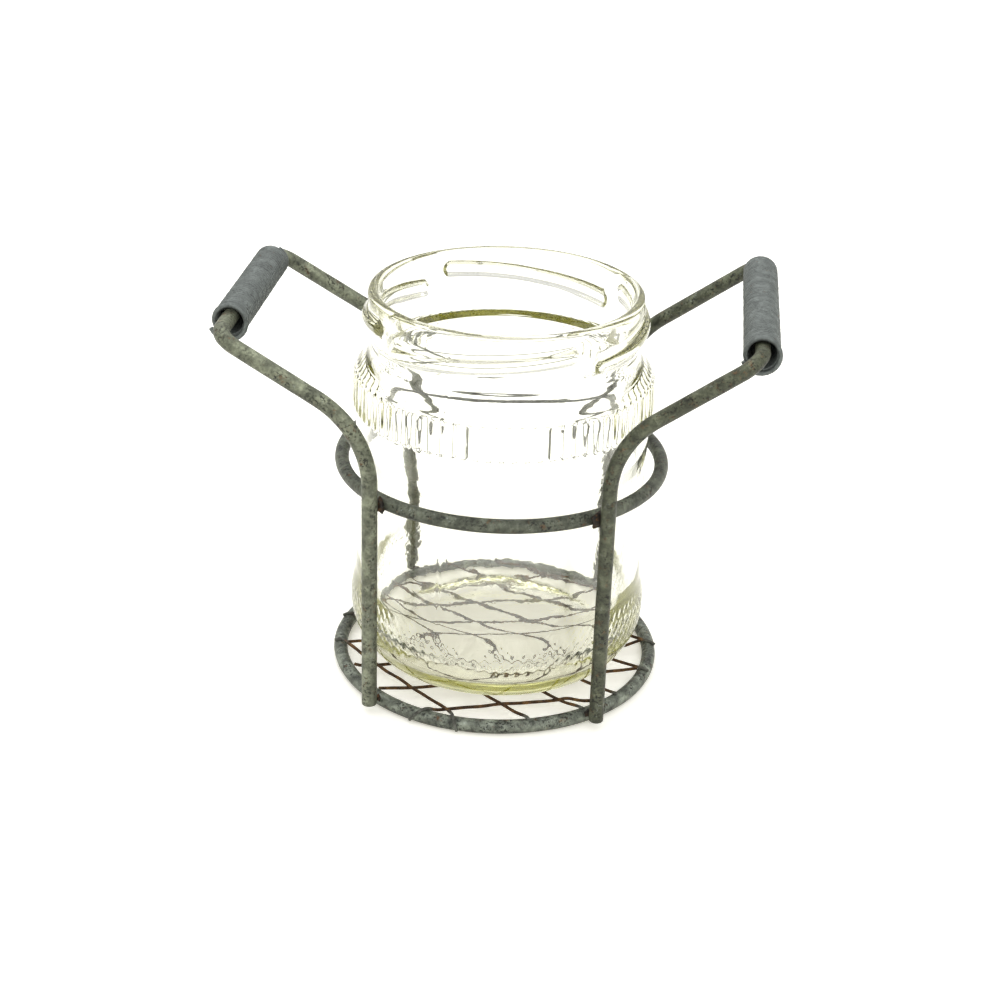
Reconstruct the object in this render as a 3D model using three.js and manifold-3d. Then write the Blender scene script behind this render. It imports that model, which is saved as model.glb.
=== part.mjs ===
// A glass food jar standing in a welded wire carrier with two upswept handles and loose coiled grips.
// Millimetres, +Z up. The origin is on the floor under the middle of the whole object; +X points to the
// right-hand handle. The pieces are placed about the axis of the jar and of the carrier's two rings, which
// stands a little to the right of the origin, because the left-hand handle reaches further out.
import * as THREE from "three";
import { mergeVertices } from "three/addons/utils/BufferGeometryUtils.js";
import Module from "manifold-3d";

const wasm = await Module();
wasm.setup();

// ---- Driving dimensions ----
const AXIS_X = 1.5; // from the origin to the axis of the jar and rings
const RING_WIRE = 4; // diameter of the galvanised wire of both rings
const HANDLE_WIRE = 4.3;
const NET_WIRE = 1.3; // diameter of the thin wire of the floor net
const GAP = 0.3; // clear space between pieces that touch on the real object

const BASE_RING_RADIUS = 46; // to the wire's centre line
const UPPER_RING_RADIUS = 45.6;
const UPPER_RING_HEIGHT = 64.1;
const LEG_RADIUS = BASE_RING_RADIUS + (RING_WIRE + HANDLE_WIRE) / 2 + 0.65; // outside both rings
const LEG_END_HEIGHT = 2.8; // the cut ends stop short of the floor

const KNEE_BEND = 27; // bend radius where a leg turns into an arm
const GRIP_BEND = 6; // bend radius at each end of a grip bar
const BEND_STEPS = 6; // stretches of wire along each bend
// Hand-bent: the front and back of a handle differ in the angle of the leg from the X axis, in the height of
// the knee and in how far along Y the grip bar reaches.
const HANDLES = {
  left: {
    side: -1,
    barX: 72.6,
    barHeight: 108.4,
    front: { leg: 52.3, knee: 86.3, reach: 35.5 },
    back: { leg: 49, knee: 85, reach: 36 },
  },
  right: {
    side: 1,
    barX: 69.6,
    barHeight: 113.7,
    front: { leg: 49.5, knee: 86.9, reach: 40.4 },
    back: { leg: 52, knee: 86.1, reach: 38.5 },
  },
};
const GRIPS = {
  left: { outer: 10.1, bore: 6.9, from: -23.5, to: 30.5 },
  right: { outer: 10, bore: 7.6, from: -33.5, to: 36 },
};

const LOWER_NET_HEIGHT = 2.2; // centre line of the net's lower wires
const UPPER_NET_HEIGHT = LOWER_NET_HEIGHT + NET_WIRE + GAP;
const NET_INSET = 5.5; // how far inside the ring's centre line a net wire leaves its straight run
const TOP_TURNS = [115, 85]; // places round the ring's section, in degrees from outwards
const OUTER_TURNS = [55, 25, -5, -25];
const TUCK_CLEARANCE = 0.1; // between a tucked end and the floor
const JAR_FLOOR = UPPER_NET_HEIGHT + NET_WIRE / 2 + GAP; // underside of the jar
// Each net wire is a straight run between two places on the base ring, given by their angles in degrees.
// An end that is bent over goes on down the ring's outer side.
const LOWER_NET = [
  { ends: [-112.5, -40.5], bentOver: [true, false] },
  { ends: [-133, -10.5] },
  { ends: [-152, 9.5] },
  { ends: [-170, 24] },
  { ends: [171.5, 42.5] },
  { ends: [152.5, 64] },
];
const UPPER_NET = [
  { ends: [-168.5, -96], bentOver: [true, true] },
  { ends: [170.5, -71], bentOver: [true, false] },
  { ends: [163.5, -51.5], bentOver: [true, false] },
  { ends: [149, -34], bentOver: [true, false] },
  { ends: [139.5, -13.5], bentOver: [false, true] },
  { ends: [118.5, 7.5], bentOver: [true, true] },
  { ends: [96.5, 37], bentOver: [true, true] },
];

// Radii and heights of the jar's outside, from the floor up
const JAR = {
  pushUpRadius: 27, // the middle of the underside is raised by pushUp
  pushUp: 1.6,
  beadRadius: 42.8,
  beadTop: 24,
  panelRadius: 41.2,
  panelFoot: 29,
  panelTop: 68,
  shoulderRadius: 42.1,
  shoulderFoot: 82,
  shoulderTop: 87,
  neckRadius: 37.2,
  neckFoot: 98.6,
  neckTop: 100.6,
  rimRadius: 38.1,
  rimFoot: 102.4,
  rimTop: 114.4,
  mouthRadius: 34.6,
  wall: 3,
  bottom: 5.5, // glass thickness under the cavity
};
// Four ridges round the mouth. Each slants down clockwise from its start, and its ends sink into the glass.
const LUG = {
  count: 4,
  start: 126,
  span: 82,
  top: 108.2,
  drop: 4.6,
  reach: 40,
  ridge: 1.5,
  sink: 2.4,
  taper: 0.2, // share of each half over which it sinks
  steps: 10,
};

const WELD_SKIN = 0.2; // clear space between a weld bead and either wire
const UPPER_WELD = 2.4; // radius of a bead
const BASE_WELD = 1.9;
const BASE_WELD_HEIGHT = 3.2; // beside the legs' cut ends

// Facets round each kind of section
const WIRE_SIDES = 10;
const NET_SIDES = 6;
const RING_STEPS = 40;
const JAR_STEPS = 40;
const GRIP_STEPS = 20;
const LUG_SIDES = 8;
const BEAD_STEPS = [10, 8]; // round and up a weld bead

const ZINC = { color: 0x7d8480, roughness: 0.55, metalness: 0.8 };
const RUST = { color: 0x6b4326, roughness: 0.85, metalness: 0.3 };
const GLASS = { color: 0xdfe6d4, roughness: 0.05, metalness: 0 };

// ---- Helpers ----
const radians = THREE.MathUtils.degToRad;

function onCircle(radius, degrees, height) {
  const angle = radians(degrees);
  return new THREE.Vector3(radius * Math.cos(angle), radius * Math.sin(angle), height);
}

// A line through given stations, with one station at each step of an extrusion.
class StationLine extends THREE.Curve {
  constructor(stations) {
    super();
    this.stations = stations;
    this.steps = stations.length - 1;
  }
  getPointAt(u) {
    return this.stations[Math.round(u * this.steps)].clone();
  }
  getTangentAt(u) {
    const here = Math.round(u * this.steps);
    const before = this.stations[Math.max(here - 1, 0)];
    const after = this.stations[Math.min(here + 1, this.steps)];
    const point = this.stations[here];
    const incoming = here > 0 ? point.clone().sub(before).normalize() : new THREE.Vector3();
    const outgoing = here < this.steps ? after.clone().sub(point).normalize() : new THREE.Vector3();
    return incoming.add(outgoing).normalize();
  }
}

// Replaces a corner by stations along an arc of the given radius.
function roundCorner(before, corner, after, radius) {
  const toBefore = before.clone().sub(corner).normalize();
  const toAfter = after.clone().sub(corner).normalize();
  const half = toBefore.angleTo(toAfter) / 2;
  const middle = toBefore.clone().add(toAfter).normalize();
  const centre = corner.clone().addScaledVector(middle, radius / Math.sin(half));
  const start = corner.clone().addScaledVector(toBefore, radius / Math.tan(half)).sub(centre);
  const axis = toAfter.clone().cross(toBefore).normalize();
  const turn = Math.PI - 2 * half;
  return Array.from({ length: BEND_STEPS + 1 }, (_, i) =>
    start.clone().applyAxisAngle(axis, (turn * i) / BEND_STEPS).add(centre),
  );
}

function polygon(radius, sides) {
  const corners = Array.from({ length: sides }, (_, i) => {
    const angle = ((i + 0.5) / sides) * 2 * Math.PI;
    return new THREE.Vector2(radius * Math.cos(angle), radius * Math.sin(angle));
  });
  return new THREE.Shape(corners);
}

function wireGeometry(stations, diameter, sides) {
  const path = new StationLine(stations);
  return new THREE.ExtrudeGeometry(polygon(diameter / 2, sides), {
    steps: path.steps,
    extrudePath: path,
  });
}

// Turns a profile of [radius, height] points round the Z axis.
function turned(profile, steps) {
  const points = profile.map(([radius, height]) => new THREE.Vector2(radius, height));
  return new THREE.LatheGeometry(points, steps).rotateX(Math.PI / 2);
}

// A wire ring whose section has a flat facet underneath.
function ringGeometry(radius, height, sectionRadius = RING_WIRE / 2) {
  const profile = Array.from({ length: WIRE_SIDES + 1 }, (_, i) => {
    const angle = ((i + 0.5) / WIRE_SIDES) * 2 * Math.PI - Math.PI / 2;
    const reach = sectionRadius / Math.cos(Math.PI / WIRE_SIDES);
    return [radius + reach * Math.cos(angle), height + reach * Math.sin(angle)];
  });
  return turned(profile, RING_STEPS);
}

function toSolid(geometry) {
  const plain = geometry.clone();
  plain.deleteAttribute("normal");
  plain.deleteAttribute("uv");
  const merged = mergeVertices(plain, 1e-4);
  return new wasm.Manifold(
    new wasm.Mesh({
      numProp: 3,
      vertProperties: merged.attributes.position.array,
      triVerts: new Uint32Array(merged.index.array),
    }),
  );
}

function fromSolid(solid) {
  const mesh = solid.getMesh();
  const geometry = new THREE.BufferGeometry();
  geometry.setAttribute("position", new THREE.BufferAttribute(mesh.vertProperties, 3));
  geometry.setIndex(new THREE.BufferAttribute(mesh.triVerts, 1));
  geometry.computeVertexNormals();
  return geometry;
}

function named(name, geometry, finish) {
  const mesh = new THREE.Mesh(geometry, new THREE.MeshStandardMaterial(finish));
  mesh.name = name;
  return mesh;
}

// ---- Carrier frame ----
// The front of a handle has end -1, the back 1.
function legDegrees(handle, end) {
  const fromAxis = (end < 0 ? handle.front : handle.back).leg;
  return end * (handle.side > 0 ? fromAxis : 180 - fromAxis);
}

// From the foot of a leg up to its knee and out to its end of the grip bar
function handleCorners(handle, end) {
  const { knee, reach } = end < 0 ? handle.front : handle.back;
  return [
    onCircle(LEG_RADIUS, legDegrees(handle, end), LEG_END_HEIGHT),
    onCircle(LEG_RADIUS, legDegrees(handle, end), knee),
    new THREE.Vector3(handle.side * handle.barX, end * reach, handle.barHeight),
  ];
}

// Up one leg, out along an arm, across the grip bar and back down the other side.
function handleStations(handle) {
  const [frontFoot, frontKnee, frontBar] = handleCorners(handle, -1);
  const [backFoot, backKnee, backBar] = handleCorners(handle, 1);
  return [
    frontFoot,
    ...roundCorner(frontFoot, frontKnee, frontBar, KNEE_BEND),
    ...roundCorner(frontKnee, frontBar, backBar, GRIP_BEND),
    ...roundCorner(frontBar, backBar, backKnee, GRIP_BEND),
    ...roundCorner(backBar, backKnee, backFoot, KNEE_BEND),
    backFoot,
  ];
}

// A bead in the crevice between a ring and a leg, hollowed where it passes round each wire.
function weldGeometry(degrees, ring, bead) {
  const centre = onCircle((ring.radius + LEG_RADIUS) / 2, degrees, bead.height);
  const ball = new THREE.SphereGeometry(bead.radius, ...BEAD_STEPS).translate(centre.x, centre.y, centre.z);
  const legSkinRadius = HANDLE_WIRE / 2 + WELD_SKIN;
  const leg = onCircle(LEG_RADIUS, degrees, bead.height);
  const legSkin = new THREE.CylinderGeometry(legSkinRadius, legSkinRadius, 4 * bead.radius, 2 * WIRE_SIDES)
    .rotateX(Math.PI / 2)
    .translate(leg.x, leg.y, leg.z);
  const ringSkin = ringGeometry(ring.radius, ring.height, RING_WIRE / 2 + WELD_SKIN);
  return fromSolid(toSolid(ball).subtract(toSolid(legSkin)).subtract(toSolid(ringSkin)));
}

// ---- Coiled grip: a close-wound sleeve that hangs loosely on its bar ----
function gripMesh(name, handle, grip) {
  const slack = (grip.bore - HANDLE_WIRE) / 2 - GAP;
  const sleeve = turned(
    [
      [grip.bore / 2, grip.from],
      [grip.outer / 2, grip.from],
      [grip.outer / 2, grip.to],
      [grip.bore / 2, grip.to],
      [grip.bore / 2, grip.from],
    ],
    GRIP_STEPS,
  );
  sleeve.rotateX(-Math.PI / 2);
  const mesh = named(name, sleeve, ZINC);
  mesh.position.set(handle.side * handle.barX, 0, handle.barHeight - slack);
  return mesh;
}

// ---- Floor net ----
// From the inside onto the ring's top, and down its outer side if the end is bent over.
function restOnRing(degrees, bentOver) {
  const reach = RING_WIRE / 2 + NET_WIRE / 2 + GAP;
  const turns = bentOver ? [...TOP_TURNS, ...OUTER_TURNS] : TOP_TURNS;
  return turns.map((turn) =>
    onCircle(
      BASE_RING_RADIUS + reach * Math.cos(radians(turn)),
      degrees,
      RING_WIRE / 2 + reach * Math.sin(radians(turn)),
    ),
  );
}

// Down into the angle between the ring's inner side and the floor.
function tuckUnder(degrees) {
  const inner = BASE_RING_RADIUS - RING_WIRE / 2 - NET_WIRE;
  const low = NET_WIRE / 2 + TUCK_CLEARANCE;
  return [
    onCircle(inner - NET_WIRE / 2, degrees, (LOWER_NET_HEIGHT + low) / 2 + GAP),
    onCircle(inner + NET_WIRE / 2 - TUCK_CLEARANCE, degrees, low),
  ];
}

// A wire's resting shape is used at an end unless that end is bent over the ring.
function netStations({ ends, bentOver = [false, false] }, height, rest) {
  const [first, last] = ends;
  const [firstEnd, lastEnd] = ends.map((degrees, i) =>
    bentOver[i] ? restOnRing(degrees, true) : rest(degrees),
  );
  const start = onCircle(BASE_RING_RADIUS, first, height);
  const finish = onCircle(BASE_RING_RADIUS, last, height);
  const along = finish.clone().sub(start).normalize();
  const inset = NET_INSET / Math.abs(along.dot(start.clone().setZ(0).normalize()));
  return [
    ...firstEnd.reverse(),
    start.addScaledVector(along, inset),
    finish.addScaledVector(along, -inset),
    ...lastEnd,
  ];
}

// ---- Glass jar ----
// Points are [radius, height]. The outside runs from the middle of the underside up to the rim.
function jarOutside() {
  const j = JAR;
  const underside = [
    [0, JAR_FLOOR + j.pushUp],
    [j.pushUpRadius, JAR_FLOOR + j.pushUp],
    [31, JAR_FLOOR],
    [33.5, JAR_FLOOR],
  ];
  const heel = [
    [37.5, JAR_FLOOR + 2.2],
    [40.8, JAR_FLOOR + 6],
    [j.beadRadius, JAR_FLOOR + 12],
    [j.beadRadius, j.beadTop],
  ];
  const body = [
    [j.panelRadius, j.panelFoot],
    [j.panelRadius, j.panelTop],
    [j.panelRadius + 0.5, j.panelTop + 2],
    [j.shoulderRadius, j.shoulderFoot],
    [j.shoulderRadius, j.shoulderTop],
  ];
  const neck = [
    [40.9, 92],
    [38.2, 96.4],
    [j.neckRadius, j.neckFoot],
    [j.neckRadius, j.neckTop],
  ];
  const rim = [
    [j.rimRadius, j.rimFoot],
    [j.rimRadius, j.rimTop - 1.4],
    [j.rimRadius - 1, j.rimTop],
  ];
  return [...underside, ...heel, ...body, ...neck, ...rim];
}

// The inside runs from the rim down to the middle of the cavity's floor.
function jarInside() {
  const j = JAR;
  const cavityFloor = JAR_FLOOR + j.bottom;
  const mouth = [
    [j.mouthRadius + 0.8, j.rimTop],
    [j.mouthRadius, j.rimTop - 1],
    [j.mouthRadius, 97],
  ];
  const wall = [
    [j.shoulderRadius - j.wall - 1, 90],
    [j.shoulderRadius - j.wall, 84],
    [j.panelRadius - j.wall, j.panelTop - 2],
    [j.panelRadius - j.wall, 20],
  ];
  const floor = [
    [34, cavityFloor + 1.8],
    [29, cavityFloor + 0.4],
    [24, cavityFloor],
    [0, cavityFloor],
  ];
  return [...mouth, ...wall, ...floor];
}

// A short slanting ridge for the lid's lug to run under, sunk into the glass at both ends.
function lugGeometry(index) {
  const stations = Array.from({ length: LUG.steps + 1 }, (_, i) => {
    const share = i / LUG.steps;
    const nearEnd = Math.max(0, Math.abs(2 * share - 1) - 1 + LUG.taper) / LUG.taper;
    const degrees = LUG.start + (index * 360) / LUG.count - LUG.span * share;
    return onCircle(LUG.reach - LUG.ridge - LUG.sink * nearEnd, degrees, LUG.top - LUG.drop * share);
  });
  return wireGeometry(stations, 2 * LUG.ridge, LUG_SIDES);
}

function jarGeometry() {
  let jar = toSolid(turned([...jarOutside(), ...jarInside()], JAR_STEPS));
  for (let i = 0; i < LUG.count; i += 1) jar = jar.add(toSolid(lugGeometry(i)));
  return fromSolid(jar);
}

// ---- Assembly ----
const carrier = new THREE.Group();
const baseRing = { radius: BASE_RING_RADIUS, height: RING_WIRE / 2 };
const upperRing = { radius: UPPER_RING_RADIUS, height: UPPER_RING_HEIGHT };
carrier.add(named("base_ring", ringGeometry(baseRing.radius, baseRing.height), ZINC));
carrier.add(named("upper_ring", ringGeometry(upperRing.radius, upperRing.height), ZINC));

const aboutAxis = new THREE.Group();
aboutAxis.position.x = AXIS_X;
for (const [side, handle] of Object.entries(HANDLES)) {
  carrier.add(named(`${side}_handle`, wireGeometry(handleStations(handle), HANDLE_WIRE, WIRE_SIDES), ZINC));
  for (const [place, end] of [["front", -1], ["back", 1]]) {
    const degrees = legDegrees(handle, end);
    const base = weldGeometry(degrees, baseRing, { radius: BASE_WELD, height: BASE_WELD_HEIGHT });
    carrier.add(named(`base_weld_${place}_${side}`, base, ZINC));
    const upper = weldGeometry(degrees, upperRing, { radius: UPPER_WELD, height: UPPER_RING_HEIGHT });
    carrier.add(named(`upper_weld_${place}_${side}`, upper, ZINC));
  }
  aboutAxis.add(gripMesh(`${side}_grip`, handle, GRIPS[side]));
}

LOWER_NET.forEach((wire, i) => {
  const stations = netStations(wire, LOWER_NET_HEIGHT, tuckUnder);
  carrier.add(named(`lower_net_wire_${i + 1}`, wireGeometry(stations, NET_WIRE, NET_SIDES), RUST));
});
UPPER_NET.forEach((wire, i) => {
  const stations = netStations(wire, UPPER_NET_HEIGHT, restOnRing);
  carrier.add(named(`upper_net_wire_${i + 1}`, wireGeometry(stations, NET_WIRE, NET_SIDES), RUST));
});

aboutAxis.add(carrier);
aboutAxis.add(named("glass_jar", jarGeometry(), GLASS));

const lantern = new THREE.Group();
lantern.add(aboutAxis);

export default lantern;
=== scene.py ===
"""Looks of an empty glass food jar in a welded wire carrier whose two handles carry coiled wire grips.

All shapes are worked out in millimetres about the jar's axis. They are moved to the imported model's frame and
scaled to metres when a piece is made. Angles are in degrees about the jar's axis, from the right-hand handle.
"""

import math

import bpy
import numpy as np
from mathutils import Matrix, Vector


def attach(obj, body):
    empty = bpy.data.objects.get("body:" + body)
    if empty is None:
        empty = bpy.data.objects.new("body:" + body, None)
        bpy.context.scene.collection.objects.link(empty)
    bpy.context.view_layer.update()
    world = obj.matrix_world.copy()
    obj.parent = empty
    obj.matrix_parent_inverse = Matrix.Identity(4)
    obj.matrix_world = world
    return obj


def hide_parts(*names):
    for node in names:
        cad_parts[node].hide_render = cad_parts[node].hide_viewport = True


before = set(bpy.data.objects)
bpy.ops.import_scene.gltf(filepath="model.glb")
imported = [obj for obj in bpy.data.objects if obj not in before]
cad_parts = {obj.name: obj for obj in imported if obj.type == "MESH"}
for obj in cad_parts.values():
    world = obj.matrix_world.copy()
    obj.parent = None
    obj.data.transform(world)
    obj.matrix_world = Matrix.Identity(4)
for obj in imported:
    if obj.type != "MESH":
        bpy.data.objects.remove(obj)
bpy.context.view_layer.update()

MM = 0.001

AXIS = np.array([1.5, 0, 0])  # from the frame's origin to the axis of the jar and rings

# ---- Carrier, in millimetres ----
RING_WIRE = 4.0
BASE_RING_RADIUS = 46
UPPER_RING_RADIUS = 45.6
UPPER_RING_HEIGHT = 64.1
LEG_RADIUS = 50.8
LEG_END_HEIGHT = 2.8
BENDS = (27, 6, 6, 27)  # radii at the front knee, the two ends of the grip bar and the back knee
# The two numbers of legs, knees and reaches are those of the handle's front and of its back.
HANDLES = {
    "left": {
        "side": -1, "legs": (-127.7, 131), "wire": 4.4, "knees": (86.3, 85),
        "bar_x": 72.6, "bar_z": 108.4, "reaches": (35.5, 36), "seed": 3,
    },
    "right": {
        "side": 1, "legs": (-49.5, 52), "wire": 4.15, "knees": (86.9, 86.1),
        "bar_x": 69.6, "bar_z": 113.7, "reaches": (40.4, 38.5), "seed": 5,
    },
}
# A grip hangs "drop" below its bar. Its first turn is splayed by "gape" along the bar and "flare" outwards.
GRIPS = {
    "left": {
        "outer": 9.9, "wire": 1.35, "drop": 1.0, "start": -23.0, "end": 31.0,
        "gape": 0.9, "flare": 0.8, "seed": 11,
    },
    "right": {
        "outer": 10.0, "wire": 1.25, "drop": 1.35, "start": -33.3, "end": 35.3,
        "gape": 0.2, "flare": 0.7, "seed": 12,
    },
}
GRIP_SLACK = 1.01  # pitch of a coil in thicknesses of its wire
FIRST_TURN_FROM = 200  # where a coil starts round its bar, in degrees
WELDS = {  # half sizes outwards, along the ring and upwards, and the height of the middle
    "base": {"left": (0.7, 1.0, 0.9), "right": (1.0, 1.3, 1.1), "height": 3.5, "radius": BASE_RING_RADIUS},
    "upper": {
        "left": (1.1, 1.9, 1.9), "right": (1.2, 2.6, 2.4), "height": UPPER_RING_HEIGHT,
        "radius": UPPER_RING_RADIUS,
    },
}
WELD_SHIFT = 0.7  # how far each weld lies towards the front or back of the ring from its leg

# Floor net: each strand joins two places on the base ring, by way of the points it is bent through. "stops"
# says how far round the ring's section each end is bent, in degrees from outwards. None means that it only
# butts against the ring. "slides" is the angle by which an end slides along the ring on its way over.
NET_WIRE = 0.95
LOWER_NET_HEIGHT = 2.75
UPPER_NET_HEIGHT = 3.75
ON_TOP = 84
OVER = 45
ROUND = -25
LOWER_STRANDS = [
    {"ends": (-108, -40.5), "stops": (ROUND, None), "slides": (-5, 0),
     "through": [(-12.0, -41.3), (-8.0, -39.7), (5.6, -35.3), (21.3, -30.2), (24.2, -28.5), (28.5, -29.3)]},
    {"ends": (-132.8, -11.5), "through": [(-23.8, -31.2), (-11.0, -27.6), (27.6, -15.0)]},
    {"ends": (-152.8, 10.3), "through": [(-37.0, -20.7), (-25.5, -17.0), (38.5, 3.8)]},
    {"ends": (-170, 24)},
    {"ends": (171.5, 42.5)},
    {"ends": (152.5, 64)},
]
UPPER_STRANDS = [
    {"ends": (-168.5, -98.5), "stops": (OVER, ROUND), "slides": (-1, 2.5),
     "through": [(-37.6, -15.8), (-24.3, -28.4), (-10.9, -39.7)]},
    {"ends": (170.5, -71.8), "stops": (OVER, ON_TOP), "slides": (2, 0)},
    {"ends": (163.5, -51.2), "stops": (OVER, ON_TOP), "slides": (-2, 0)},
    {"ends": (149, -35), "stops": (OVER, ON_TOP)},
    {"ends": (139.5, -13.9), "stops": (ON_TOP, OVER)},
    {"ends": (118.5, 6.8), "stops": (OVER, OVER), "slides": (-1, -1.5)},
    {"ends": (96.5, 37), "stops": (OVER, OVER)},
]

# ---- Jar, in millimetres ----
COLUMNS = 616  # round the jar: eight to a rib, seven to a tooth of the knurl
RIBS = 77
RIB_FROM = 80.6
RIB_TO = 91.0
RIB_WIDTH = 2.6
RIB_HEIGHT = 0.45
RIB_FOOT_RADIUS = 41.8
# The knurl's zig-zag ridges lie one above the other, "pitch" apart, and each swings up and down by "swing".
KNURL = {"teeth": 88, "foot": 15.4, "top": 25.3, "pitch": 3.3, "swing": 2.4, "height": 0.16}
# Each lug is a ridge, "half" of it above its middle line, which falls by "drop" over "span" degrees.
LUG = {"count": 4, "start": 126, "span": 82, "top": 108.2, "drop": 4.6, "height": 1.9, "half": 2.1}
SEAMS = (-107, 73)  # where the two mould halves met
SEAM_HEIGHT = 0.05
SEAM_HALF_WIDTH = 0.45
SEAM_RADIUS = 42
LUG_RADIUS = 38.5
CREASES = [(98.4, -0.1, 0.28), (96.8, -0.07, 0.28), (94.3, 0.14, 0.4)]  # height, relief, half width
CREASE_WANDER = 0.35
OUTSIDE_UNEVEN = 0.05
INSIDE_UNEVEN = 0.2
SMOOTH_ABOVE = 112  # height from which the inside is even
SMOOTH_FADE = 10  # how far below that it is fully uneven
# The underside and the floor are mottled inside MOTTLE_RADIUS, fully so from MOTTLE_FADE further in.
UNDERSIDE_MOTTLE = {"seed": 41, "size": 0.06, "wavelength": 9}
FLOOR_MOTTLE = {"seed": 43, "size": 0.1, "wavelength": 14}
MOTTLE_RADIUS = 34
MOTTLE_FADE = 8

# ---- Camera ----
LENS = 68.521
CAMERA_PLACE = (0.051042, -0.493090, 0.289473)
YAW = 0.100079
PITCH = 0.450429
ROLL = 0.034184


# ---------------------------------------------------------------- mesh helpers
def new_piece(name, shape, material, body, replaced):
    """A smooth-shaded mesh object, made from millimetres, that rides on a body in place of a CAD node."""
    verts, faces = shape
    mesh = bpy.data.meshes.new(name)
    mesh.from_pydata(((np.asarray(verts) + AXIS) * MM).tolist(), [], faces)
    mesh.validate()
    mesh.shade_smooth()
    mesh.materials.append(material)
    piece = bpy.data.objects.new(name, mesh)
    bpy.context.scene.collection.objects.link(piece)
    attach(piece, body)
    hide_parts(replaced)


def unit(vectors):
    return vectors / np.linalg.norm(vectors, axis=-1, keepdims=True)


def waves(count, seed, cycles, closed=False):
    """Smooth noise between about -1 and 1 at each of count places along a line."""
    rng = np.random.default_rng(seed)
    along = np.linspace(0, 2 * math.pi, count, endpoint=not closed)
    total = np.zeros(count)
    for k in range(1, cycles + 1):
        total += rng.uniform(-1, 1) * np.sin(k * along + rng.uniform(0, 2 * math.pi))
    return total / math.sqrt(cycles)


def carried_frames(path, closed):
    """The tangent and two unit vectors across the path at each station, carried along it without twist."""
    after = np.roll(path, -1, 0) - path
    before = path - np.roll(path, 1, 0)
    if not closed:
        after[-1] = before[-1]
        before[0] = after[0]
    tangent = unit(unit(after) + unit(before))
    seed = np.array([0, 0, 1.0]) if abs(tangent[0][2]) < 0.9 else np.array([1.0, 0, 0])
    across = np.cross(tangent[0], seed)
    side = []
    for t in tangent:
        across = unit(across - t * (across @ t))
        side.append(across)
    side = np.array(side)
    return tangent, side, np.cross(tangent, side)


DOME = [(0.12, 0.94), (0.2, 0.7)]  # how far past a wire's end, and how wide, in shares of its radius


def domed(path, radius, tangent):
    """Adds the slightly rounded end faces of an open wire to its path and radii."""
    head = [path[0] - tangent[0] * radius[0] * past for past, _ in DOME]
    tail = [path[-1] + tangent[-1] * radius[-1] * past for past, _ in DOME]
    widths = np.array([width for _, width in DOME])
    path = np.vstack([head[::-1], path, tail])
    radius = np.concatenate([radius[0] * widths[::-1], radius, radius[-1] * widths])
    return path, radius


def sweep(path, radius, sides=16, closed=False):
    """Vertices and faces of a round wire along a path."""
    path = np.asarray(path, float)
    radius = np.broadcast_to(np.asarray(radius, float), len(path))
    tangent, side, up = carried_frames(path, closed)
    if not closed:
        path, radius = domed(path, radius, tangent)
        ends = (len(DOME), len(DOME))
        side = np.pad(side, (ends, (0, 0)), mode="edge")
        up = np.pad(up, (ends, (0, 0)), mode="edge")
    turn = np.arange(sides) / sides * 2 * math.pi
    circle = side[:, None] * np.cos(turn)[None, :, None] + up[:, None] * np.sin(turn)[None, :, None]
    verts = (path[:, None] + circle * radius[:, None, None]).reshape(-1, 3)
    rings = len(path)
    faces = []
    for i in range(rings if closed else rings - 1):
        a, b = i * sides, (i + 1) % rings * sides
        for j in range(sides):
            k = (j + 1) % sides
            faces.append((a + j, a + k, b + k, b + j))
    if not closed:
        faces.append(tuple(range(sides))[::-1])
        faces.append(tuple(range((rings - 1) * sides, rings * sides)))
    return verts, faces


def on_circle(radius, degrees, height):
    angle = math.radians(degrees)
    return np.array([radius * math.cos(angle), radius * math.sin(angle), height])


def bend(before, corner, after, radius, steps):
    """Stations along the arc that rounds a corner."""
    to_before = unit(before - corner)
    to_after = unit(after - corner)
    half = math.acos(np.clip(to_before @ to_after, -1, 1)) / 2
    centre = corner + unit(to_before + to_after) * radius / math.sin(half)
    start = Vector(corner + to_before * radius / math.tan(half) - centre)
    axis = Vector(np.cross(to_after, to_before)).normalized()
    angles = np.linspace(0, math.pi - 2 * half, steps)
    return [centre + np.array(Matrix.Rotation(a, 3, axis) @ start) for a in angles]


def resampled(stations, spacing):
    """Evenly spaced points along a polyline."""
    stations = np.asarray(stations)
    length = np.concatenate([[0], np.cumsum(np.linalg.norm(np.diff(stations, axis=0), axis=1))])
    places = np.linspace(0, length[-1], max(2, int(length[-1] / spacing)))
    return np.stack([np.interp(places, length, column) for column in stations.T], 1)


def softened(path, rounds):
    """Rounds off the corners of an evenly spaced path."""
    soft = path.copy()
    for _ in range(rounds):
        soft[1:-1] = (soft[:-2] + 2 * soft[1:-1] + soft[2:]) / 4
    return soft


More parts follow.
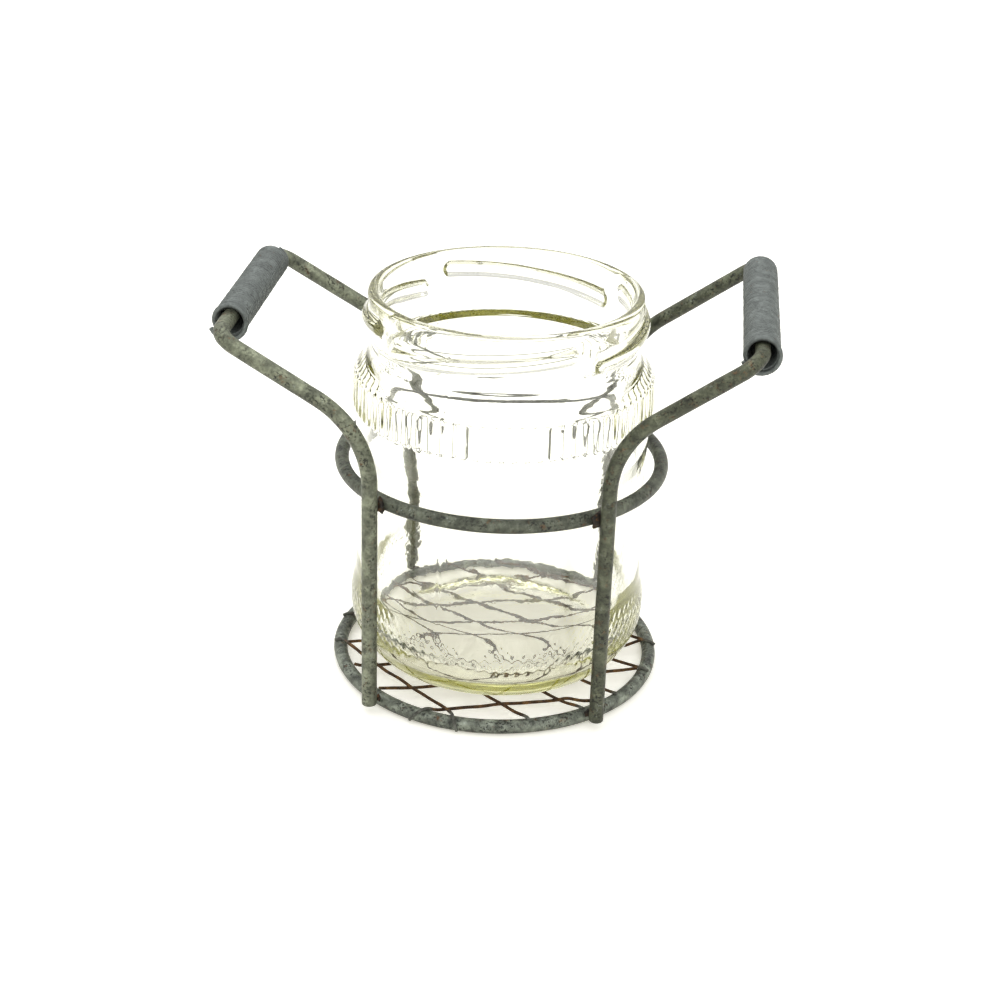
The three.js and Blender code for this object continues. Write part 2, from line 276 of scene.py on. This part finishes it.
# ------------------------------------------------------------ material helpers
class Nodes:
    """Short names for the nodes that the materials share."""

    def __init__(self, name):
        self.material = bpy.data.materials.new(name)
        self.material.use_nodes = True
        self.tree = self.material.node_tree
        self.surface = self.tree.nodes["Principled BSDF"]
        coordinates = self.tree.nodes.new("ShaderNodeTexCoord")
        self.place = coordinates.outputs["Object"]
        self.normal = coordinates.outputs["Normal"]

    def link(self, source, target):
        self.tree.links.new(source, target)

    def noise(self, scale, detail=4.0, roughness=0.6, distortion=0.0):
        node = self.tree.nodes.new("ShaderNodeTexNoise")
        node.inputs["Scale"].default_value = scale
        node.inputs["Detail"].default_value = detail
        node.inputs["Roughness"].default_value = roughness
        node.inputs["Distortion"].default_value = distortion
        self.link(self.place, node.inputs["Vector"])
        return node.outputs["Fac"]

    def ramp(self, value, stops):
        node = self.tree.nodes.new("ShaderNodeValToRGB")
        elements = node.color_ramp.elements
        while len(elements) < len(stops):
            elements.new(0.5)
        for element, (place, shade) in zip(elements, stops):
            element.position = place
            colour = shade if isinstance(shade, tuple) else (shade, shade, shade)
            element.color = (*colour, 1)
        self.link(value, node.inputs["Fac"])
        return node.outputs["Color"]

    def blend(self, share, first, second, kind="MIX"):
        node = self.tree.nodes.new("ShaderNodeMix")
        node.data_type = "RGBA"
        node.blend_type = kind
        colours = [socket for socket in node.inputs if socket.type == "RGBA"]
        for socket, value in zip([node.inputs["Factor"], *colours], (share, first, second)):
            if isinstance(value, tuple):
                socket.default_value = (*value, 1)
            elif isinstance(value, float):
                socket.default_value = value
            else:
                self.link(value, socket)
        return [socket for socket in node.outputs if socket.type == "RGBA"][0]

    def maths(self, operation, first, second=0.0):
        node = self.tree.nodes.new("ShaderNodeMath")
        node.operation = operation
        for socket, value in zip(node.inputs, (first, second)):
            if isinstance(value, (int, float)):
                socket.default_value = value
            else:
                self.link(value, socket)
        return node.outputs["Value"]

    def parts(self, vector):
        node = self.tree.nodes.new("ShaderNodeSeparateXYZ")
        self.link(vector, node.inputs[0])
        return node.outputs

    def painted_top_light(self, below, above):
        """A painted shade for faces that look down, level out at 1, and a painted highlight for faces that
        look up, as if lit from above.
        """
        upward = self.maths("ADD", self.maths("MULTIPLY", self.parts(self.normal)["Z"], 0.5), 0.5)
        return self.ramp(upward, [(0.0, below), (0.45, 0.85), (0.8, above), (1.0, above * 0.9)])

    def bump(self, height, strength, distance):
        node = self.tree.nodes.new("ShaderNodeBump")
        node.inputs["Strength"].default_value = strength
        node.inputs["Distance"].default_value = distance
        self.link(height, node.inputs["Height"])
        self.link(node.outputs["Normal"], self.surface.inputs["Normal"])

    def finish(self, colour, roughness, metallic):
        self.link(colour, self.surface.inputs["Base Color"])
        self.link(roughness, self.surface.inputs["Roughness"])
        self.surface.inputs["Metallic"].default_value = metallic
        return self.material


RUST_BROWN = (0.15, 0.07, 0.025)
ZINC_BLOOM = (0.36, 0.4, 0.36)


def galvanised(name, tone, rust, clouding=1.0):
    """Weathered zinc around one tone: soft clouds, dark pits, pale bloom and a little rust, plus painted top
    light and underside shade.
    """
    n = Nodes(name)
    dark, pale = 1 - 0.7 * clouding, 1 + 0.9 * clouding
    clouds = n.ramp(n.noise(300, 6, 0.68), [(0.3, dark), (0.5, 0.95), (0.7, pale)])
    colour = n.blend(1.0, tone, clouds, "MULTIPLY")
    pits = n.ramp(n.noise(1300, 3, 0.6), [(0.5, 0.0), (0.6, 1.0)])
    pitted = n.ramp(n.noise(210, 2), [(0.36, 0.0), (0.6, clouding)])
    colour = n.blend(n.maths("MULTIPLY", pits, pitted), colour, tuple(0.18 * c for c in tone))
    bloom = n.ramp(n.noise(1000, 4, 0.7, 0.4), [(0.58, 0.0), (0.72, 0.9)])
    bloomed = n.ramp(n.noise(150, 2), [(0.48, 0.0), (0.66, clouding)])
    colour = n.blend(n.maths("MULTIPLY", bloom, bloomed), colour, ZINC_BLOOM)
    stains = n.ramp(n.noise(420, 5, 0.7), [(0.64 - rust * 0.1, 0.0), (0.78, 0.9)])
    colour = n.blend(stains, colour, RUST_BROWN)
    # Painted light and shade: faces that look up are lightened and faces that look down are darkened.
    colour = n.blend(1.0, colour, n.painted_top_light(0.45, 1.25), "MULTIPLY")
    grain = n.maths("ADD", n.noise(1300, 5, 0.7), n.maths("MULTIPLY", pits, -0.5))
    n.bump(grain, 0.5, 0.00018)
    return n.finish(colour, n.ramp(n.noise(500), [(0.3, 0.38), (0.7, 0.6)]), 0.45)


def net_wire_material():
    """Dark rust along the net, with zinc still on it where it rests on the ring."""
    n = Nodes("net_wire")
    rust = n.ramp(
        n.noise(520, 6, 0.7),
        [(0.3, (0.016, 0.009, 0.004)), (0.5, (0.075, 0.036, 0.01)), (0.68, (0.26, 0.13, 0.035))],
    )
    zinc = n.ramp(n.noise(600, 4), [(0.35, (0.05, 0.05, 0.04)), (0.65, (0.15, 0.155, 0.13))])
    place = n.parts(n.place)
    across = n.maths("SUBTRACT", place["X"], AXIS[0] * MM)
    squares = [n.maths("MULTIPLY", side, side) for side in (across, place["Y"])]
    radius = n.maths("POWER", n.maths("ADD", *squares), 0.5)
    uneven = n.maths("ADD", radius, n.maths("MULTIPLY", n.noise(250), 0.004))
    on_ring = n.ramp(n.maths("MULTIPLY", uneven, 10), [(0.455, 0.0), (0.475, 1.0)])
    n.bump(n.noise(1800, 5, 0.7), 0.6, 0.00015)
    return n.finish(n.blend(on_ring, rust, zinc), n.ramp(n.noise(700), [(0.3, 0.6), (0.7, 0.85)]), 0.2)


def weld_material():
    """Burnt weld metal: nearly black, with a little orange rust and grey in its hollows."""
    n = Nodes("weld_metal")
    colour = n.ramp(
        n.noise(900, 5, 0.7),
        [(0.42, (0.008, 0.007, 0.006)), (0.58, (0.04, 0.025, 0.012)), (0.68, (0.22, 0.1, 0.04)),
         (0.78, (0.2, 0.2, 0.17))],
    )
    n.bump(n.noise(1500, 5, 0.7), 0.8, 0.0003)
    return n.finish(colour, n.ramp(n.noise(900), [(0.3, 0.45), (0.7, 0.8)]), 0.3)


def glass_material():
    """Clear soda glass with a faint olive body and a slightly wavy, grainy skin."""
    n = Nodes("clear_glass")
    n.surface.inputs["Base Color"].default_value = (1, 1, 1, 1)
    n.surface.inputs["Transmission Weight"].default_value = 1
    n.surface.inputs["IOR"].default_value = 1.51
    n.link(n.ramp(n.noise(35, 3), [(0.4, 0.0), (0.75, 0.03)]), n.surface.inputs["Roughness"])
    underside = n.ramp(n.maths("MULTIPLY", n.parts(n.place)["Z"], 100), [(0.62, 1.0), (0.72, 0.0)])
    stipple = n.maths("MULTIPLY", n.noise(420, 2, 0.5), n.maths("MULTIPLY", underside, 0.45))
    skin = n.maths("ADD", n.noise(70, 3, 0.5), n.maths("MULTIPLY", n.noise(600, 3, 0.6), 0.04))
    n.bump(n.maths("ADD", skin, stipple), 0.25, 0.0006)
    body = n.tree.nodes.new("ShaderNodeVolumeAbsorption")
    body.inputs["Color"].default_value = (0.77, 0.765, 0.47, 1)
    body.inputs["Density"].default_value = 33
    n.link(body.outputs["Volume"], n.tree.nodes["Material Output"].inputs["Volume"])
    return n.material


def floor_material():
    """Pale matt paper on a light table, which leaves hardly any shadow under the carrier."""
    n = Nodes("pale_floor")
    n.surface.inputs["Emission Color"].default_value = (1, 0.965, 0.8, 1)
    n.surface.inputs["Emission Strength"].default_value = 0.38
    n.bump(n.noise(900, 3), 0.05, 0.0001)
    tone = n.ramp(n.noise(8, 2), [(0.3, (0.95, 0.95, 0.94)), (0.7, (0.97, 0.97, 0.96))])
    return n.finish(tone, n.ramp(n.noise(30), [(0.3, 0.85), (0.7, 0.95)]), 0)


# --------------------------------------------------------------------- carrier
RING_STATIONS = 240
RING_UNEVEN = 0.18
WIRE_UNEVEN = 0.012  # in shares of the wire's radius
WIRE_SIDES = 20
HANDLE_STEP = 1.2  # between the stations along a handle
NET_STEP = 0.7  # and along a net strand


def ring_shape(radius, height, seed):
    """A ring that is a little out of round, of wire that is thinner in places."""
    count = RING_STATIONS
    angles = np.arange(count) / count * 2 * math.pi
    uneven = radius + RING_UNEVEN * waves(count, seed, 5, closed=True)
    path = np.stack([uneven * np.cos(angles), uneven * np.sin(angles), np.full(count, height)], 1)
    thick = RING_WIRE / 2 * (1 + WIRE_UNEVEN * waves(count, seed + 1, 24, closed=True))
    return sweep(path, np.minimum(thick, RING_WIRE / 2), WIRE_SIDES, closed=True)


def handle_path(handle):
    """Up the front leg, out along the arm, across the grip bar and down the back leg."""
    feet = [on_circle(LEG_RADIUS, degrees, LEG_END_HEIGHT) for degrees in handle["legs"]]
    knees = [on_circle(LEG_RADIUS, degrees, knee) for degrees, knee in zip(handle["legs"], handle["knees"])]
    front, back = handle["reaches"]
    bar = [np.array([handle["side"] * handle["bar_x"], reach, handle["bar_z"]]) for reach in (-front, back)]
    corners = [feet[0], knees[0], bar[0], bar[1], knees[1], feet[1]]
    stations = [feet[0]]
    for before, corner, after, radius in zip(corners, corners[1:], corners[2:], BENDS):
        stations += bend(before, corner, after, radius, 20)
    stations.append(feet[1])
    return resampled(stations, HANDLE_STEP)


def handle_shape(handle):
    """One bent wire of slightly uneven thickness."""
    path = handle_path(handle)
    thick = handle["wire"] / 2 * (0.99 + WIRE_UNEVEN * waves(len(path), handle["seed"], 40))
    return sweep(path, thick, WIRE_SIDES)


TURN_STEPS = 24  # stations in each turn of a coil


def grip_shape(side):
    """A close-wound coil round its bar, its turns a little uneven and the first of them splayed."""
    handle, grip = HANDLES[side], GRIPS[side]
    wire, seed = grip["wire"], grip["seed"]
    pitch = wire * GRIP_SLACK
    turns = (grip["end"] - grip["start"] - wire) / pitch
    steps = int(turns * TURN_STEPS)
    turn = np.linspace(0, turns, steps)
    splay = np.clip(1 - turn / 1.3, 0, 1) ** 1.5
    radius = (grip["outer"] - wire) / 2 + 0.06 * waves(steps, seed, 30) - 0.03 + grip["flare"] * splay
    angle = 2 * math.pi * turn + math.radians(FIRST_TURN_FROM)
    along = grip["start"] + wire / 2 + turn * pitch + 0.03 * waves(steps, seed + 1, 60) - grip["gape"] * splay
    x = handle["side"] * handle["bar_x"] + radius * np.cos(angle)
    z = handle["bar_z"] - grip["drop"] + radius * np.sin(angle)
    return sweep(np.stack([x, along, z], 1), wire / 2, 8)


def weld_shape(centre, outward, size, seed):
    """A lumpy weld nugget, longest along the ring."""
    rng = np.random.default_rng(seed)
    rows, columns = 14, 20
    down = np.pi * np.arange(1, rows) / rows
    turn = 2 * np.pi * np.arange(columns) / columns
    belt = np.stack([
        np.outer(np.sin(down), np.cos(turn)),
        np.outer(np.sin(down), np.sin(turn)),
        np.outer(np.cos(down), np.ones(columns)),
    ], 2).reshape(-1, 3)
    verts = np.vstack([[[0, 0, 1.0]], belt, [[0, 0, -1.0]]])
    for _ in range(7):
        verts = verts * (1 + 0.07 * np.sin(verts @ rng.uniform(-6, 6, 3) + rng.uniform(0, 6)))[:, None]
    along = np.cross([0, 0, 1.0], outward)
    basis = np.stack([outward * size[0], along * size[1], np.array([0, 0, size[2]])])
    faces = []
    for j in range(columns):
        k = (j + 1) % columns
        faces.append((0, 1 + j, 1 + k))
        for i in range(rows - 2):
            a, b = 1 + i * columns, 1 + (i + 1) * columns
            faces.append((a + j, b + j, b + k, a + k))
        last = 1 + (rows - 2) * columns
        faces.append((last + j, len(verts) - 1, last + k))
    return verts @ basis + centre, faces


NET_INSET = 5.5  # how far inside the ring's centre line a strand starts to rise to it
FIRST_TOUCH = 118  # where a strand comes onto the ring's section, in degrees from outwards


def strand_end(degrees, height, stop, slide):
    """The stations of one strand end, from the inside outwards."""
    if stop is None:
        return [on_circle(BASE_RING_RADIUS - RING_WIRE / 2 - 0.2, degrees, height)]
    reach = (RING_WIRE + NET_WIRE) / 2
    shares = np.linspace(0, 1, 12)
    turns = np.radians(FIRST_TOUCH + (stop - FIRST_TOUCH) * shares)
    return [
        on_circle(BASE_RING_RADIUS + reach * math.cos(turn), degrees + slide * share,
                  RING_WIRE / 2 + reach * math.sin(turn))
        for turn, share in zip(turns, shares)
    ]


def strand_shape(strand, height, seed):
    """One net strand from ring to ring, not quite straight between its bends."""
    first, last = (on_circle(BASE_RING_RADIUS, degrees, height) for degrees in strand["ends"])
    along = unit(last - first)
    inset = NET_INSET / abs(along @ unit(first * [1, 1, 0]))
    middle = [(*point, height) for point in strand.get("through", ())]
    if not middle:
        middle = [first + along * inset, last - along * inset]
    stops = strand.get("stops", (None, None))
    slides = strand.get("slides", (0, 0))
    first_end, last_end = (
        strand_end(degrees, height, stop, slide)
        for degrees, stop, slide in zip(strand["ends"], stops, slides)
    )
    path = softened(resampled([*first_end[::-1], *middle, *last_end], NET_STEP), 4)
    count = len(path)
    taper = np.minimum(1, np.minimum(np.arange(count), np.arange(count)[::-1]) / 8)
    across = np.cross(along, [0, 0, 1])
    path = path + across * (0.3 * taper * waves(count, seed, 6))[:, None]
    return sweep(path, NET_WIRE / 2 * (1 + 0.06 * waves(count, seed + 1, 20)), 10)


def make_welds(metal):
    for level, weld in WELDS.items():
        for side, handle in HANDLES.items():
            for place, degrees in zip(("front", "back"), handle["legs"]):
                outward = on_circle(1, degrees, 0)
                inward_along = np.array([-np.sign(outward[0]), 0, 0])
                centre = outward * (weld["radius"] + LEG_RADIUS) / 2 + inward_along * WELD_SHIFT
                centre[2] = weld["height"]
                node = f"{level}_weld_{place}_{side}"
                shape = weld_shape(centre, outward, weld[side], handle["seed"] + int(abs(degrees)))
                new_piece(f"{node}_bead", shape, metal, "carrier", node)


def make_net(metal):
    for level, strands, height in (
        ("lower", LOWER_STRANDS, LOWER_NET_HEIGHT),
        ("upper", UPPER_STRANDS, UPPER_NET_HEIGHT),
    ):
        for number, strand in enumerate(strands, 1):
            shape = strand_shape(strand, height, 50 + number)
            node = f"{level}_net_wire_{number}"
            new_piece(f"{level}_net_strand_{number}", shape, metal, "carrier", node)


def make_carrier():
    rings = {
        # The base ring's paler tone is partly painted light: it makes up for the shade it gets low down under
        # the jar.
        "base_ring": (BASE_RING_RADIUS, RING_WIRE / 2, (0.15, 0.165, 0.132), 1.25, 21),
        "upper_ring": (UPPER_RING_RADIUS, UPPER_RING_HEIGHT, (0.088, 0.096, 0.07), 1.0, 31),
    }
    for node, (radius, height, tone, clouding, seed) in rings.items():
        zinc = galvanised(f"{node}_zinc", tone, 0.5, clouding)
        new_piece(f"{node}_wire", ring_shape(radius, height, seed), zinc, "carrier", node)
    tones = {"left": (0.162, 0.174, 0.12), "right": (0.08, 0.087, 0.055)}
    coil_zinc = galvanised("grip_zinc", (0.13, 0.145, 0.137), 0.0, 0.45)
    for side, handle in HANDLES.items():
        zinc = galvanised(f"{side}_handle_zinc", tones[side], 0.7)
        bent = handle_shape(handle)
        coil = grip_shape(side)
        new_piece(f"{side}_handle_wire", bent, zinc, "carrier", f"{side}_handle")
        new_piece(f"{side}_grip_coil", coil, coil_zinc, f"{side}_grip", f"{side}_grip")
    make_welds(weld_material())
    make_net(net_wire_material())


# ------------------------------------------------------------------------- jar
# Outline points are (radius, height). Together they go from the middle of the underside, up the outside, over
# the rim and down the inside to the middle of the floor.
UNDERSIDE = [
    (1.0, 5.75), (8, 5.7), (16, 5.58), (24, 5.3), (29, 5.03), (32, 4.84), (33.6, 4.8), (36.0, 5.9),
    (38.4, 8.1), (40.6, 11.3),
]
OUTSIDE = [
    (40.6, 11.3), (42.0, 14.4), (42.5, 17.0), (42.7, 20.5), (42.6, 24.0), (42.2, 26.6), (41.6, 29.5),
    (41.4, 36), (41.25, 50), (41.2, 66), (41.3, 72), (41.5, 77), (41.8, 79.8), (41.85, 84), (41.8, 88),
    (41.7, 90.6), (41.8, 91.2), (41.35, 91.5), (41.25, 92.0), (40.8, 92.7), (40.0, 93.5), (39.0, 94.5),
    (38.2, 95.5), (37.7, 96.6), (37.4, 98.0), (37.3, 99.5), (37.4, 100.8), (37.85, 101.7), (38.1, 102.5),
    (37.95, 103.4), (38.0, 108), (38.1, 112.6),
]
RIM = [
    (38.15, 113.3), (37.9, 113.9), (37.2, 114.3), (36.3, 114.4), (35.6, 114.2), (35.1, 113.6), (34.95, 112.7),
]
NECK_INSIDE = [
    (34.9, 111), (34.6, 101), (34.6, 98.2), (34.73, 97.0), (35.15, 95.6), (35.7, 94.4), (36.2, 93.5),
    (36.7, 92.6), (37.3, 91.2), (37.7, 89.9), (37.85, 88.5), (38.15, 85),
]
WALL_INSIDE = [(38.15, 85), (38.5, 76), (38.3, 66), (38.3, 40), (38.4, 27), (38.3, 21.5)]
FLOOR_INSIDE = [
    (38.3, 21.5), (37.6, 17.2), (35.9, 13.9), (32.8, 11.6), (29, 10.6), (24, 10.2), (12, 10.05), (1.0, 10.0),
]
OUTSIDE_ROWS = [  # from, to and spacing of the rows of vertices up the outside
    (11.3, 14.2, 1.0), (14.2, 26.2, 0.5), (26.2, 30, 1.3), (30, 79.6, 7), (79.6, 82.6, 0.45),
    (82.6, 89.4, 2.3), (89.4, 92.4, 0.35), (92.4, 99.6, 0.45), (99.6, 103.8, 0.65), (103.8, 108, 0.45),
    (108, 112.6, 1.6),
]
NECK_FROM = 100.5  # where the rows leave the ribs and creases behind and start to follow the lugs


def curve_through(points, spacing):
    """Points along a smooth curve through an outline's points, by Catmull-Rom."""
    p = np.array([points[0], *points, points[-1]], float)
    dense = []
    for a, b, c, d in zip(p[:-3], p[1:-2], p[2:-1], p[3:]):
        t = np.linspace(0, 1, 12, endpoint=False)[:, None]
        bend_in = 2 * a - 5 * b + 4 * c - d
        bend_out = 3 * b - a - 3 * c + d
        dense.append(0.5 * (2 * b + (c - a) * t + bend_in * t**2 + bend_out * t**3))
    return resampled(np.vstack([*dense, p[-1:]]), spacing)


def rib_relief(degrees, height):
    """Pill-shaped upright ribs round the shoulder."""
    pitch = 360 / RIBS
    sideways = ((degrees / pitch + 0.5) % 1 - 0.5) * math.radians(pitch) * RIB_FOOT_RADIUS
    half = RIB_WIDTH / 2
    beyond = np.maximum(0, np.maximum(RIB_FROM + half - height, height - RIB_TO + half))
    away = np.hypot(sideways, beyond) / half
    return RIB_HEIGHT * np.sqrt(np.clip(1 - away**2, 0, 1))


def knurl_relief(degrees, height):
    """Zig-zag ridges, one above the other, round the heel."""
    zigzag = np.abs((degrees * KNURL["teeth"] / 360) % 1 * 2 - 1) * KNURL["swing"]
    across = ((height + zigzag - KNURL["foot"]) / KNURL["pitch"]) % 1
    fade = np.clip(np.minimum(height - KNURL["foot"], KNURL["top"] - height), 0, 1)
    return KNURL["height"] * fade * (0.5 - 0.5 * np.cos(2 * math.pi * across)) ** 2


def crease_relief(degrees, height):
    """Faint lines round the shoulder, wavy and broken, where the mould's parts met."""
    total = 0
    for number, (level, relief, half_width) in enumerate(CREASES):
        wander = CREASE_WANDER * ripple(degrees, 0, 21 + number)
        strength = np.clip(0.8 + 0.9 * ripple(degrees, 0, 31 + number), 0, 1.6)
        total = total + relief * strength * np.exp(-(((height - level - wander) / half_width) ** 2))
    return total


def seam_relief(degrees):
    """Two faint upright lines where the mould's halves met."""
    total = 0
    for seam in SEAMS:
        away = ((degrees - seam + 180) % 360 - 180) * math.radians(1) * SEAM_RADIUS
        total = total + SEAM_HEIGHT * np.exp(-((away / SEAM_HALF_WIDTH) ** 2))
    return total


def lug_share(degrees):
    """How far along its lug a place lies: 0 at the high end, 1 at the low end, more in the gap after it."""
    return ((LUG["start"] - degrees) % (360 / LUG["count"])) / LUG["span"]


def lug_shift(degrees):
    """Height of the lug's middle line over its mean, joined up across the gaps."""
    share = lug_share(degrees)
    gap = 360 / LUG["count"] / LUG["span"] - 1
    return LUG["drop"] * np.where(share <= 1, 0.5 - share, (share - 1) / gap - 0.5)


def lug_relief(degrees, height):
    """Slanting ridges with rounded ends for a twist-off lid."""
    share = lug_share(degrees)
    middle = LUG["top"] - LUG["drop"] * share
    arc = math.radians(LUG["span"]) * LUG_RADIUS
    beyond = np.maximum(0, (np.abs(share - 0.5) - 0.5) * arc + LUG["half"])
    away = np.hypot(height - middle, beyond)
    return LUG["height"] * np.sqrt(np.clip(1 - (away / LUG["half"]) ** 2, 0, 1))


def ripple(degrees, height, seed):
    """Gentle unevenness of blown glass, between about -1 and 1."""
    rng = np.random.default_rng(seed)
    total = 0
    for _ in range(10):
        rounds, up = rng.integers(1, 9), rng.uniform(0.03, 0.22)
        wave = np.cos(np.radians(degrees) * rounds + rng.uniform(0, 6))
        total = total + wave * np.cos(height * up + rng.uniform(0, 6))
    return total / math.sqrt(10)


def mottle(x, y, seed, wavelength):
    """Unevenness of a pressed glass floor, between about -1 and 1."""
    rng = np.random.default_rng(seed)
    total = 0
    for _ in range(16):
        heading = rng.uniform(0, 2 * math.pi)
        length = wavelength * rng.uniform(0.7, 1.6)
        total = total + np.sin((x * math.cos(heading) + y * math.sin(heading)) * 2 * math.pi / length
                               + rng.uniform(0, 2 * math.pi))
    return total / math.sqrt(16)


def flat_rings(outline, degrees, seed, size, wavelength):
    """Rings of an uneven underside or floor, even near the wall."""
    angles = np.radians(degrees)
    rings = []
    for radius, height in outline:
        fade = np.clip((MOTTLE_RADIUS - radius) / MOTTLE_FADE, 0, 1)
        uneven = size * fade * mottle(radius * np.cos(angles), radius * np.sin(angles), seed, wavelength)
        rings.append((np.full(COLUMNS, radius), height + uneven))
    return rings


def outside_rings(degrees):
    """Rings up the outside, whose rows follow the slanting lugs round the finish."""
    side = curve_through(OUTSIDE, 0.2)
    slant = lug_shift(degrees)
    rings = []
    for low, high, spacing in OUTSIDE_ROWS:
        for level in np.linspace(low, high, max(1, round((high - low) / spacing)), endpoint=False):
            height = level + np.interp(level, [100.6, 104.0, 107.8, 112.4], [0, 1, 1, 0]) * slant
            radius = np.interp(height, side[:, 1], side[:, 0])
            if level < NECK_FROM:
                radius = radius + rib_relief(degrees, height) + knurl_relief(degrees, height)
                radius = radius + crease_relief(degrees, height)
            else:
                radius = radius + lug_relief(degrees, height)
            radius = radius + seam_relief(degrees) + OUTSIDE_UNEVEN * ripple(degrees, height, 7)
            rings.append((radius, height))
    return rings


def plain_rings(outline):
    return [(np.full(COLUMNS, radius), np.full(COLUMNS, height)) for radius, height in outline]


def inside_rings(degrees):
    """Rings down the uneven inside, from the rim to the floor."""
    rings = []
    for outline, spacing in ((NECK_INSIDE, 1.0), (WALL_INSIDE, 9)):
        for radius, height in curve_through(outline, spacing)[:-1]:
            fade = np.clip((SMOOTH_ABOVE - height) / SMOOTH_FADE, 0, 1)
            uneven = INSIDE_UNEVEN * fade * ripple(degrees, height, 9)
            rings.append((radius + uneven, np.full(COLUMNS, height)))
    return rings


def jar_shape():
    """One closed skin: up the outside, over the rim and down the inside, in rings of vertices."""
    degrees = np.arange(COLUMNS) / COLUMNS * 360
    rings = [
        *flat_rings(curve_through(UNDERSIDE, 2.0)[:-1], degrees, **UNDERSIDE_MOTTLE),
        *outside_rings(degrees),
        *plain_rings(RIM),
        *inside_rings(degrees),
        *flat_rings(curve_through(FLOOR_INSIDE, 3.6), degrees, **FLOOR_MOTTLE),
    ]
    angles = np.radians(degrees)
    verts = [
        np.stack([radius * np.cos(angles), radius * np.sin(angles), height], 1)
        for radius, height in rings
    ]
    middles = [[0, 0, rings[0][1].mean()], [0, 0, rings[-1][1].mean()]]
    verts = np.vstack([*verts, middles])
    count = len(rings)
    first = np.arange(COLUMNS)
    after = (first + 1) % COLUMNS
    faces = []
    for a in range(0, (count - 1) * COLUMNS, COLUMNS):
        b = a + COLUMNS
        faces += np.stack([a + first, a + after, b + after, b + first], 1).tolist()
    low, high = count * COLUMNS, count * COLUMNS + 1
    top = (count - 1) * COLUMNS
    for i, j in zip(first.tolist(), after.tolist()):
        faces.append((low, j, i))
        faces.append((high, top + i, top + j))
    return verts, faces


def make_jar():
    new_piece("jar_glass", jar_shape(), glass_material(), "jar", "glass_jar")


# ------------------------------------------------------- floor, light and camera
FLOOR_HALF = 4  # metres
FLOOR_DEPTH = -0.0001  # just under the carrier


def make_floor():
    """A large plain sheet for the object to stand on."""
    mesh = bpy.data.meshes.new("floor")
    corners = [(x * FLOOR_HALF, y * FLOOR_HALF, FLOOR_DEPTH) for x, y in ((-1, -1), (1, -1), (1, 1), (-1, 1))]
    mesh.from_pydata(corners, [], [(0, 1, 2, 3)])
    mesh.materials.append(floor_material())
    floor = bpy.data.objects.new("floor", mesh)
    bpy.context.scene.collection.objects.link(floor)


def make_world():
    """A white surround that is darker low down, towards the horizon."""
    world = bpy.data.worlds.new("studio")
    bpy.context.scene.world = world
    world.use_nodes = True
    tree = world.node_tree
    shade = tree.nodes["Background"]
    place = tree.nodes.new("ShaderNodeTexCoord")
    parts = tree.nodes.new("ShaderNodeSeparateXYZ")
    ramp = tree.nodes.new("ShaderNodeValToRGB")
    tree.links.new(place.outputs["Generated"], parts.inputs[0])
    tree.links.new(parts.outputs["Z"], ramp.inputs["Fac"])
    low, high = ramp.color_ramp.elements
    low.position, low.color = 0.0, (0.68, 0.68, 0.65, 1)
    high.position, high.color = 0.5, (1, 1, 1, 1)
    tree.links.new(ramp.outputs["Color"], shade.inputs["Color"])
    shade.inputs["Strength"].default_value = 0.96


def make_lights():
    """One large soft light overhead and a weaker one in front."""
    for name, place, size, power in (
        ("overhead_softbox", (-0.25, 0.35, 1.3), 1.2, 7),
        ("front_softbox", (0.5, -1.1, 1.0), 0.8, 3),
    ):
        light = bpy.data.lights.new(name, "AREA")
        light.shape = "SQUARE"
        light.size = size
        light.energy = power
        lamp = bpy.data.objects.new(name, light)
        lamp.location = place
        lamp.rotation_euler = (Vector((0, 0, 0.05)) - Vector(place)).to_track_quat("-Z", "Y").to_euler()
        bpy.context.scene.collection.objects.link(lamp)


def allow_long_light_paths():
    """Lets light run round inside the glass, so that its thick edges glow olive and not black."""
    settings = bpy.context.scene.cycles
    settings.max_bounces = 32
    settings.transmission_bounces = 32
    settings.glossy_bounces = 24


def make_camera():
    """The viewpoint, turned by its yaw, pitch and roll."""
    forward = Vector((-math.sin(YAW) * math.cos(PITCH), math.cos(YAW) * math.cos(PITCH), -math.sin(PITCH)))
    level = Vector((math.cos(YAW), math.sin(YAW), 0))
    upright = level.cross(forward)
    right = math.cos(ROLL) * level + math.sin(ROLL) * upright
    up = -math.sin(ROLL) * level + math.cos(ROLL) * upright
    camera = bpy.data.objects.new("camera", bpy.data.cameras.new("camera"))
    camera.data.lens = LENS
    camera.data.sensor_width = 36
    axes = Matrix((right, up, -forward)).transposed().to_4x4()
    camera.matrix_world = Matrix.Translation(CAMERA_PLACE) @ axes
    bpy.context.scene.collection.objects.link(camera)
    bpy.context.scene.camera = camera


make_carrier()
make_jar()
make_floor()
make_world()
make_lights()
allow_long_light_paths()
make_camera()
bpy.context.scene.view_settings.view_transform = "Standard"
